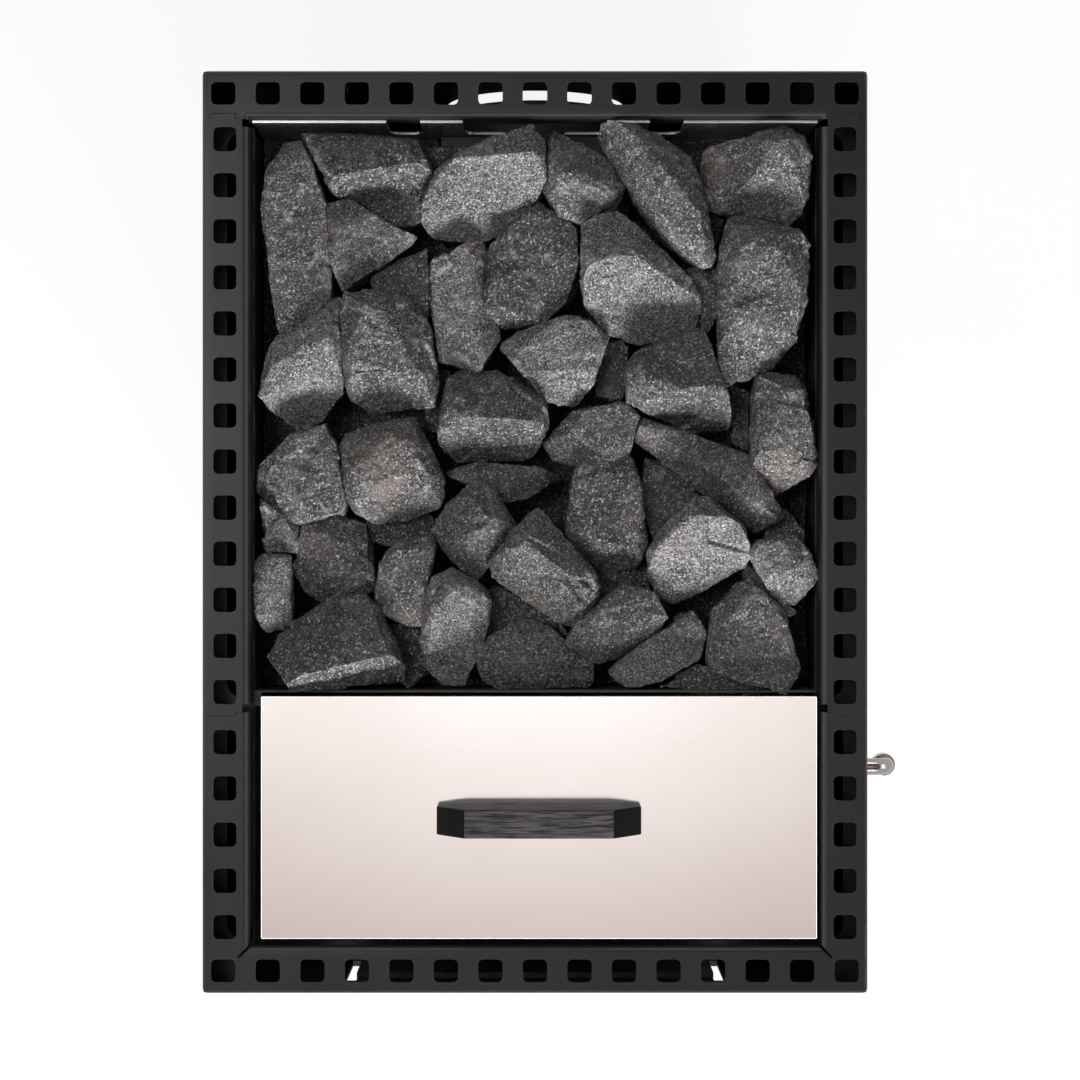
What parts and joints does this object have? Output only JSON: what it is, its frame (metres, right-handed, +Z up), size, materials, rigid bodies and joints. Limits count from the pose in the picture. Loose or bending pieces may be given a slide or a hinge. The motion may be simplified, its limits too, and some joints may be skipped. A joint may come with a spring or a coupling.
{
  "type": "sauna heater stove",
  "caption": "Wood-fired sauna stove: perforated black sheet casing, open stone bed, glazed fire door, ash drawer, and a front water tank with a lift-off lid and a side tap.",
  "frame": {"origin": "middle of the underside of the whole object's box, on the floor", "axes": "+Z up, front with the fire door towards -Y, tap on the +X side"},
  "size_m": [0.5251, 0.6772, 0.8373],
  "materials": {
    "coating": "black satin powder coat",
    "black_steel": "matt heat-proof black",
    "bare_steel": "bare bright sheet",
    "polished_steel": "mirror polished stainless",
    "chrome": "polished",
    "iron": "cast, matt black",
    "dark_wood": "black stained, open grain",
    "door_glass": "clear heat-proof",
    "rope": "woven glass rope",
    "stone": "broken, speckled dark grey"
  },
  "bodies": {
    "stove": {"ash_box": "black_steel", "base_plate": "black_steel", "firebox": "black_steel", "flue_socket": "black_steel", "foot_front_left": "black_steel", "foot_front_right": "black_steel", "foot_rear_left": "black_steel", "foot_rear_right": "black_steel", "front_casing": "coating", "front_plate": "black_steel", "front_rail": "black_steel", "front_rim_frame": "coating", "grate": "iron", "hinge_pin": "bare_steel", "hot_plate": "iron", "left_liner": "black_steel", "left_rim_channel": "coating", "left_side_panel": "coating", "rear_casing": "coating", "rear_liner": "bare_steel", "rear_rim_frame": "coating", "right_liner": "black_steel", "right_rim_channel": "coating", "right_side_panel": "coating", "smoke_box": "black_steel", "stone_01": "stone", "stone_02": "stone", "stone_03": "stone", "stone_04": "stone", "stone_05": "stone", "stone_06": "stone", "stone_07": "stone", "stone_08": "stone", "stone_09": "stone", "stone_10": "stone", "stone_11": "stone", "stone_12": "stone", "stone_13": "stone", "stone_14": "stone", "stone_15": "stone", "stone_16": "stone", "stone_17": "stone", "stone_18": "stone", "stone_bed": "stone", "tank_divider": "black_steel", "tap_lock_nut": "chrome", "tap_spout": "chrome", "tap_valve": "chrome", "water_tank": "polished_steel"},
    "door": {"door_frame": "iron", "door_glass": "door_glass", "glass_retainer": "bare_steel", "door_seal": "rope", "door_grip": "dark_wood"},
    "drawer": {"ash_drawer": "black_steel", "ash_drawer_face": "iron"},
    "lid": {"tank_lid": "polished_steel", "lid_grip": "dark_wood"},
    "lever": {"tap_lever": "iron"}
  },
  "joints": [
    {"name": "door_swing", "type": "hinge", "parent": "stove", "child": "door", "pos_m": [-0.1586, -0.29435, 0.293], "axis": [0, 0, -1], "range_deg": [0, 110]},
    {"name": "ash_drawer_slide", "type": "slide", "parent": "stove", "child": "drawer", "axis": [0, -1, 0], "range_m": [0, 0.3]},
    {"name": "lid_lift", "type": "slide", "parent": "stove", "child": "lid", "axis": [0, 0, 1], "range_m": [0, 0.15]},
    {"name": "tap_lever_turn", "type": "hinge", "parent": "stove", "child": "lever", "pos_m": [0.2094, -0.16645, 0.47], "axis": [0, 0, 1], "range_deg": [0, 90]}
  ]
}
